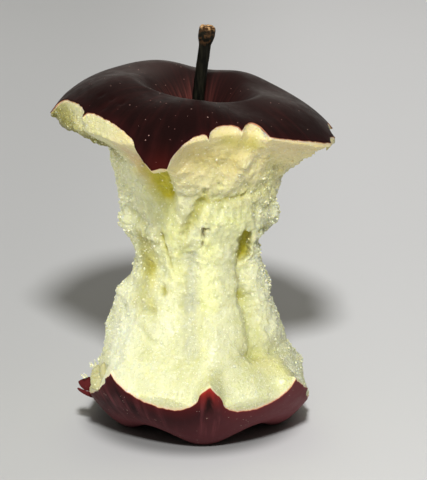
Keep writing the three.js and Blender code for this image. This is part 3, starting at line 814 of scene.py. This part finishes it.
def lenticels_piece():
    """The pale dots of the skin, as low discs: sparse on the crown, thicker on the base."""
    rng = np.random.default_rng(151)
    shape, triangles = pebble(2)
    points = []
    for surface, bites, inner, count, side in (
        (crown_surface, CROWN_BITES, 8, 110, 1),
        (base_surface, BASE_BITES, 21, 280, -1),
    ):
        azimuth = rng.uniform(-180, 180, count)
        rho = np.sqrt(rng.uniform(inner ** 2, (edge_radius(bites, azimuth) - 0.7) ** 2))
        centre, normal, along, beside = surface_patch(surface, rho, azimuth)
        size = rng.uniform(0.07, 0.17, (count, 1, 1)) * rng.uniform(0.8, 1.2, (count, 1, 1))
        disc = size * (along[:, None] * shape[None, :, :1] + beside[:, None] * shape[None, :, 1:2])
        disc += 0.035 * side * normal[:, None] * shape[None, :, 2:]
        points.append(centre[:, None] + disc)
    return bodies_piece("lenticels", np.concatenate(points), triangles)


# ---- stalk
STALK_FOOT, STALK_BEND, STALK_TIP = np.array([(-1.3, 0, 67.7), (-0.7, 0, 79.5), (1.8, 0, 95.2)])
STALK_R, STALK_FOOT_R, STALK_KNOB_R = 1.36, 1.7, 1.9


def stalk_piece(columns=64, rows=150):
    t = np.linspace(1, 0, rows)[:, None]
    centre = curve(t, STALK_FOOT, STALK_BEND, STALK_TIP)
    tangent = unit(2 * (1 - t) * (STALK_BEND - STALK_FOOT) + 2 * t * (STALK_TIP - STALK_BEND))
    side = np.array([0, 1, 0])
    a = np.linspace(0, 2 * math.pi, columns, endpoint=False)
    out = np.cos(a)[:, None] * np.cross(tangent, side)[:, None] + np.sin(a)[:, None] * side
    radius = STALK_R + (STALK_FOOT_R - STALK_R) * (1 - rise(t, 0, 0.35))
    radius += (STALK_KNOB_R - STALK_R) * rise(t, 0.84, 0.93)
    ends = np.minimum(1, np.minimum(0.4 + 9 * t, 0.8 + 9 * (1 - t)))
    ribs = 0.05 * np.cos(3 * a) + 0.03 * np.cos(5 * a + 1.3) + 0.02 * np.cos(9 * a + 4 * t)
    rough = centre[:, None] + radius[..., None] * out
    bark = 0.06 * perlin(rough * [1, 1, 0.25], 0.7, 81) + 0.05 * perlin(rough, 1.6, 82)
    knob = rise(t, 0.86, 0.92) * (0.1 * perlin(rough, 1, 83) + 0.06 * perlin(rough, 0.5, 84))
    rings = centre[:, None] + (radius * ends * (1 + ribs) + bark + knob)[..., None] * out
    # the broken end: a ragged rim around a pitted, dished face
    steps = np.array([0.86, 0.68, 0.5, 0.32, 0.15])[:, None, None]
    tip = rings[0].mean(0)
    face = tip + (rings[0] - tip) * steps
    height = 0.28 * perlin(face, 0.8, 91) - 0.42 * (1 - steps[..., 0] ** 2) - 0.05
    rings[:2] += tangent[:2, None] * (0.22 * perlin(rings[:2], 0.9, 92) - 0.15)[..., None]
    face = face + tangent[0] * height[..., None]
    rings = np.concatenate([face[::-1], rings])[:, ::-1]
    piece = grid_piece("stalk_bark", rings, face[-1].mean(0), STALK_FOOT)
    on_face = np.ones((len(steps), 1))
    layers = {
        "broken": np.concatenate([on_face, 1 - rise(np.arange(rows)[:, None], 0, 5)]),
        "knob": np.concatenate([on_face, rise(t, 0.84, 0.9)]),
    }
    paint_rings(piece, rings.shape[:2], layers, top=1)
    return piece


# ---- materials
class Nodes:
    """Short calls for building the shader nodes of a material or a world, with a running colour.

    Wherever a socket takes a value, a name stands for the attribute painted under it.
    """

    def __init__(self, owner, shader="Principled BSDF", coordinates="Object"):
        owner.use_nodes = True
        self.owner = owner
        self.tree = owner.node_tree
        self.shader = self.tree.nodes[shader]
        self.place = self.add("ShaderNodeTexCoord", {}).outputs[coordinates]
        self.colour = None

    def add(self, kind, values, **settings):
        """A new node with these settings, and values for its input sockets by name or number."""
        node = self.tree.nodes.new(kind)
        for key, value in settings.items():
            setattr(node, key, value)
        for key, value in values.items():
            self.put(node.inputs[key], value)
        return node

    def put(self, socket, value):
        if isinstance(value, str):
            value = self.add("ShaderNodeAttribute", {}, attribute_name=value).outputs["Fac"]
        if isinstance(value, bpy.types.NodeSocket):
            self.tree.links.new(value, socket)
        else:
            socket.default_value = (*value, 1) if socket.type == "RGBA" else value

    def noise(self, size_mm, detail=3, roughness=0.5, stretch=None, place=None):
        place = self.place if place is None else place
        if stretch is not None:
            place = self.add("ShaderNodeMapping", {"Vector": place, "Scale": stretch}).outputs[0]
        values = {"Vector": place, "Scale": 1 / (size_mm * MM), "Detail": detail, "Roughness": roughness}
        return self.add("ShaderNodeTexNoise", values).outputs["Fac"]

    def dots(self, size_mm):
        """Distance to the nearest of scattered points, and a random number for each."""
        node = self.add("ShaderNodeTexVoronoi", {"Vector": self.place, "Scale": 1 / (size_mm * MM)})
        return node.outputs["Distance"], node.outputs["Color"]

    def axis(self, letter):
        return self.add("ShaderNodeSeparateXYZ", {0: self.place}).outputs[letter]

    def math(self, operation, a, b):
        return self.add("ShaderNodeMath", {0: a, 1: b}, operation=operation).outputs[0]

    def times(self, a, b):
        return self.math("MULTIPLY", a, b)

    def remap(self, value, low, high, to_low=0, to_high=1):
        values = {0: value, 1: low, 2: high, 3: to_low, 4: to_high}
        return self.add("ShaderNodeMapRange", values, interpolation_type="SMOOTHSTEP").outputs[0]

    def mix(self, share, a, b):
        return self.add("ShaderNodeMix", {0: share, 6: a, 7: b}, data_type="RGBA").outputs[2]

    def tint(self, share, colour):
        """Mixes a share of another colour into the running one."""
        self.colour = self.mix(share, self.colour, colour)

    def bump(self, height, distance_mm, **normal):
        values = {"Height": height, "Distance": distance_mm * MM, **normal}
        return self.add("ShaderNodeBump", values).outputs["Normal"]

    def finish(self, **sockets):
        self.put(self.shader.inputs["Base Color"], self.colour)
        for name, value in sockets.items():
            self.put(self.shader.inputs[name.replace("_", " ")], value)
        return self.owner


def material_nodes(name):
    return Nodes(bpy.data.materials.new(name))


def flesh_material(name, scatter, pale=0):
    n = material_nodes(name)
    mottle = n.noise(5)
    fibre = n.noise(1.1, stretch=(1, 1, 0.22))
    n.colour = n.mix(n.remap(mottle, 0.35, 0.68), (0.47, 0.468, 0.24), (0.555, 0.555, 0.325))
    n.tint(n.times(n.remap(fibre, 0.5, 0.7), 0.4), (0.66, 0.66, 0.43))
    n.tint(n.remap(n.noise(2.6, 2), 0.54, 0.7, 0, 0.3), (0.46, 0.47, 0.15))
    n.tint("warm", (0.72, 0.62, 0.32))
    # painted shade in the carved hollows, and painted light on the raised bits
    n.tint(n.remap("hollow", 0.25, 2.2, 0, 0.5), (0.43, 0.43, 0.13))
    n.tint(n.remap("hollow", -0.1, -0.9, 0, 0.4), (0.61, 0.615, 0.43))
    n.tint("white", (0.66, 0.67, 0.46))
    n.tint("yellow", (0.62, 0.63, 0.23))
    n.tint("tan", (0.58, 0.44, 0.24))
    n.tint(n.times("grey", 0.85), (0.46, 0.46, 0.32))
    # olive tone, with the painted shade of the cleft, the ledge and the folds
    n.tint(n.times("olive", n.remap(mottle, 0.2, 0.7, 0.8, 1)), (0.41, 0.365, 0.022))
    # painted shade from the dark strokes and deep in the hole
    n.tint("dark", (0.1, 0.09, 0.01))
    n.tint("brown", (0.17, 0.13, 0.04))
    # cells of the flesh: some clear and darker, and bright specks painted on as glints of wet cells
    distance, number = n.dots(0.5)
    clear = n.times(n.math("LESS_THAN", number, 0.22), n.remap(distance, 0.55, 0.15, 0, 0.38))
    painted_glint = n.times(n.math("GREATER_THAN", number, 0.8), n.remap(distance, 0.55, 0.2))
    n.tint(clear, (0.4, 0.41, 0.12))
    n.tint(n.times(painted_glint, 0.45), (0.86, 0.87, 0.66))
    if pale:
        n.tint(pale, (0.78, 0.78, 0.58))
    n.tint(n.remap("to_skin", 0.9, 0.2, 0, 0.45), (0.82, 0.6, 0.36))
    normal = n.bump(n.noise(0.45, 3, 0.65), 0.2)
    normal = n.bump(distance, 0.1, Normal=normal)
    normal = n.bump(n.noise(1.1, 2, stretch=(1, 1, 0.3)), 0.2, Normal=normal)
    return n.finish(Roughness=n.remap(n.noise(1.6), 0.3, 0.7, 0.36, 0.6), Normal=normal,
                    Subsurface_Weight=0.85, Subsurface_Radius=(1.0, 0.85, 0.4), Subsurface_Scale=scatter,
                    Coat_Weight=0.08, Coat_Roughness=0.18, IOR=1.38)


def skin_material(name, dark, red, bright, spots, glow, right_red, low_red):
    """Skin with streaks that run out from the middle.

    Spots, glow, right_red and low_red say how many fine spots it has, how much painted glow, for light
    shining through the thin skin, it has along its edge, and how red it is at the right and near the feet.
    """
    n = material_nodes(name)
    around = n.add("ShaderNodeCombineXYZ", {0: "around_x", 1: "around_y", 2: n.times("radius", 0.006)})
    streaks = n.noise(62.5, 4, place=around.outputs[0])
    redness = n.times(n.remap(streaks, 0.38, 0.74), n.remap(n.noise(9), 0.3, 0.7, 0.15, 0.9))
    redness = n.math("MAXIMUM", redness, n.remap("around_x", -0.25, 0.8, 0, right_red))
    n.colour = n.mix(redness, dark, red)
    # painted glow along the cut edge, where light would shine through the thin skin
    n.tint(n.remap("to_edge", 2.6, 0, 0, glow), bright)
    inward = n.times(n.remap("radius", 12, 6), n.remap("around_x", -0.1, 0.5, 1, 0.15))
    n.tint(n.times(inward, n.remap(streaks, 0.35, 0.75, 0.1, 0.8)), (0.19, 0.05, 0.04))
    n.tint(n.remap("radius", 30, 21, 0, low_red), red)
    # painted sheen: pale grey where the crest would mirror the wall behind
    n.tint("painted_sheen", (0.062, 0.044, 0.04))
    n.tint("blush", (0.075, 0.007, 0.004))
    distance, number = n.dots(1.5)
    fine_spot = n.times(n.remap(distance, 0.1, 0.05), n.math("GREATER_THAN", number, 1 - spots))
    n.tint(n.times(fine_spot, 0.35), (0.35, 0.16, 0.14))
    n.tint("cut", (0.6, 0.27, 0.15))
    n.tint(n.times("peak", n.remap(streaks, 0.3, 0.6, 0.45, 1)), (0.36, 0.028, 0.02))
    # painted shade in the dent under the peak
    n.tint("dent", (0.012, 0.005, 0.004))
    return n.finish(Roughness=n.remap(n.noise(2.4), 0.3, 0.7, 0.38, 0.5), Normal=n.bump(n.noise(1), 0.03),
                    Specular_IOR_Level=0.03, Sheen_Weight=0.015, Sheen_Roughness=0.45,
                    Sheen_Tint=(1.0, 0.8, 0.76))


def stalk_material():
    n = material_nodes("stalk_bark")
    grain = n.noise(0.7, 4, stretch=(1, 1, 0.2))
    n.colour = n.mix(n.remap(grain, 0.35, 0.7), (0.0035, 0.0035, 0.0028), (0.012, 0.011, 0.007))
    n.tint(n.times("knob", n.remap(n.noise(0.9, 2), 0.45, 0.65)), (0.07, 0.035, 0.015))
    wood = n.mix(n.remap(n.noise(0.8), 0.4, 0.6), (0.06, 0.025, 0.008), (0.55, 0.33, 0.15))
    n.tint("broken", wood)
    return n.finish(Roughness=n.remap(grain, 0.3, 0.7, 0.42, 0.6), Normal=n.bump(grain, 0.12),
                    Specular_IOR_Level=0.12)


def lenticel_material():
    n = material_nodes("lenticels")
    n.colour = n.mix(n.remap(n.noise(6, 1), 0.35, 0.65), (0.16, 0.068, 0.06), (0.29, 0.18, 0.15))
    return n.finish(Roughness=0.6, Specular_IOR_Level=0.2)


def calyx_material():
    n = material_nodes("dry_calyx")
    grain = n.noise(0.8, 4)
    n.colour = n.mix(n.remap(grain, 0.35, 0.65), (0.035, 0.02, 0.01), (0.16, 0.095, 0.045))
    return n.finish(Roughness=0.85, Normal=n.bump(grain, 0.2))


def floor_material():
    n = material_nodes("pale_floor")
    # painted light: the floor is lighter towards the back and the right, standing in for uneven light over
    # it
    back = n.remap(n.axis("Y"), 0, 0.45)
    left = n.mix(back, (0.545, 0.547, 0.545), (0.64, 0.643, 0.643))
    right = n.mix(back, (0.67, 0.67, 0.67), (0.83, 0.83, 0.838))
    n.colour = n.mix(n.remap(n.axis("X"), -0.055, 0.055), left, right)
    n.tint(n.times(n.noise(120, 2), 0.06), (0.45, 0.45, 0.45))
    # painted contact shadow: a dark ring on the floor right under the fruit
    from_middle = n.add("ShaderNodeVectorMath", {0: n.place}, operation="LENGTH").outputs["Value"]
    n.tint(n.remap(from_middle, 0.029, 0.021, 0, 0.7), (0.1, 0.1, 0.095))
    return n.finish(Roughness=0.8, Specular_IOR_Level=0.2)


# ---- the pieces
fruit_pieces = [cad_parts["calyx"]]


def dress(piece, material):
    fruit_pieces.append(piece)
    piece.data.materials.append(material)
    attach(piece, "root")
    return piece


bitten = flesh_surface()
flesh = dress(flesh_piece(bitten), flesh_material("wet_flesh", 0.0018))
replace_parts(flesh, "apple_core")

# crumbs in the roughest places, and finer grains there, along the edges and over the lowest bites
crumb_look = flesh_material("wet_crumbs", 0.0002, 0.45)
to_skin, torn = bitten["to_skin"], bitten["torn"]
roughest = torn ** 2 + 0.15 * rise(bitten["hollow"], 0.5, 1.5) * torn
roughest *= rise(bitten["from_top"], 3, 16)
grainy = 0.06 * rise(to_skin, 0.8, 3) + 0.7 * torn
grainy += 0.9 * rise(to_skin, 0.5, 1.5) * rise(bitten["from_low"], 26, 12)
grainy *= 1 - 0.9 * bitten["tints"]["olive"]
dress(crumbs_piece("flesh_crumbs", bitten, roughest, 1500, 0.16, 0.42, 2, 101), crumb_look)
dress(crumbs_piece("flesh_grains", bitten, grainy, 9500, 0.09, 0.21, 1, 103), crumb_look)

crown_look = skin_material("crown_skin", (0.0088, 0.0032, 0.003), (0.027, 0.0066, 0.006),
                           (0.06, 0.008, 0.01), 0.2, 0.12, 0.1, 0.12)
base_look = skin_material("base_skin", (0.017, 0.0058, 0.0064), (0.175, 0.046, 0.052),
                          (0.15, 0.014, 0.016), 0.5, 0.35, 0.95, 0.8)
dress(skin_piece("crown_skin", crown_surface, CROWN_BITES, CREST_R, 1, CROWN_SEED), crown_look)
dress(skin_piece("base_skin", base_surface, BASE_BITES, FOOT_R, -1, BASE_SEED), base_look)
dress(torn_flesh(), flesh_material("torn_flesh", 0.0009))
dress(shreds(), crumb_look)
dress(skin_flap(), base_look)
dress(lenticels_piece(), lenticel_material())
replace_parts(dress(stalk_piece(), stalk_material()), "stalk")
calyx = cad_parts["calyx"].data
calyx.materials.clear()
calyx.materials.append(calyx_material())


# ---- floor, lights and camera
CAMERA_AWAY = 560.0
CAMERA_RISE = 17.6
VIEW_WIDTH = 100.47  # how much the view takes in across at the target, in mm
TARGET = np.array([3.0, 0.0, 43.7])
SKY_LOW, SKY_TOP, SKY_BACK = 0.04, 0.28, 0.75


def aim(thing, azimuth, elevation, distance):
    """Puts a lamp or camera at a place seen from the target, azimuth 0 in front, facing the target."""
    target = to_frame(TARGET)
    a, e = math.radians(azimuth), math.radians(elevation)
    away = np.array([math.sin(a) * math.cos(e), -math.cos(a) * math.cos(e), math.sin(e)])
    place = target + distance * MM * away
    thing.location = place
    thing.rotation_euler = (Vector(target) - Vector(place)).to_track_quat("-Z", "Y").to_euler()


def area_light(name, place, size, power, pieces, mirrored=False):
    """An even disc of light for these pieces only, seen in reflections only where mirrored is set.

    The place is an azimuth and an elevation in degrees, and a distance in mm, from the target.
    """
    lamp = bpy.data.lights.new(name, "AREA")
    lamp.shape = "DISK"
    lamp.size = size * MM
    lamp.energy = power
    lamp.use_nodes = True
    nodes = lamp.node_tree.nodes
    even = nodes.new("ShaderNodeLightFalloff")
    even.inputs["Strength"].default_value = 1.0
    lamp.node_tree.links.new(even.outputs["Constant"], nodes["Emission"].inputs["Strength"])
    light = in_scene(name, lamp)
    aim(light, *place)
    lit = bpy.data.collections.new("lit_by_" + name)
    for piece in pieces:
        lit.objects.link(piece)
    light.light_linking.receiver_collection = lit
    light.visible_glossy = mirrored


def make_floor():
    half = 3.0
    mesh = bpy.data.meshes.new("floor")
    corners = [(-half, -half, 0), (half, -half, 0), (half, half, 0), (-half, half, 0)]
    mesh.from_pydata(corners, [], [(0, 1, 2, 3)])
    floor = in_scene("floor", mesh)
    floor.data.materials.append(floor_material())
    return floor


def make_camera():
    lens = bpy.data.cameras.new("camera")
    lens.sensor_fit = "HORIZONTAL"
    lens.sensor_width = 36
    lens.lens = lens.sensor_width * CAMERA_AWAY / VIEW_WIDTH
    lens.clip_start, lens.clip_end = 0.01, 20
    camera = in_scene("camera", lens)
    aim(camera, 0, CAMERA_RISE, CAMERA_AWAY)
    scene.camera = camera


def make_world():
    """A soft pale ceiling, and a paler wall behind the object."""
    world = bpy.data.worlds.new("studio")
    n = Nodes(world, "Background", "Generated")
    ceiling = n.remap(n.axis("Z"), 0.1, 0.8, SKY_LOW, SKY_TOP)
    wall = n.remap(n.axis("Y"), 0.75, 0.98, 0, SKY_BACK)
    n.put(n.shader.inputs["Color"], (1.0, 0.975, 0.89))
    n.put(n.shader.inputs["Strength"], n.math("ADD", ceiling, wall))
    scene.world = world
    scene.view_settings.view_transform = "Standard"


floor = make_floor()
make_camera()
make_world()
white_pieces = [piece for piece in fruit_pieces if piece.name.startswith(("flesh", "torn"))]
skins = [piece for piece in fruit_pieces if piece not in white_pieces]
KEY_PLACE, KEY_SIZE = (1, 44, 490), 58
area_light("floor_key", KEY_PLACE, KEY_SIZE, 10.3, [floor])
area_light("key", KEY_PLACE, KEY_SIZE, 10.3, white_pieces, mirrored=True)
area_light("skin_key", KEY_PLACE, KEY_SIZE, 11.2, skins)
area_light("fill", (0, 6, 700), 520, 6.6, white_pieces)
area_light("skin_fill", (-30, 25, 700), 520, 2.8, skins)
area_light("side", (-72, 20, 700), 420, 5.2, white_pieces)
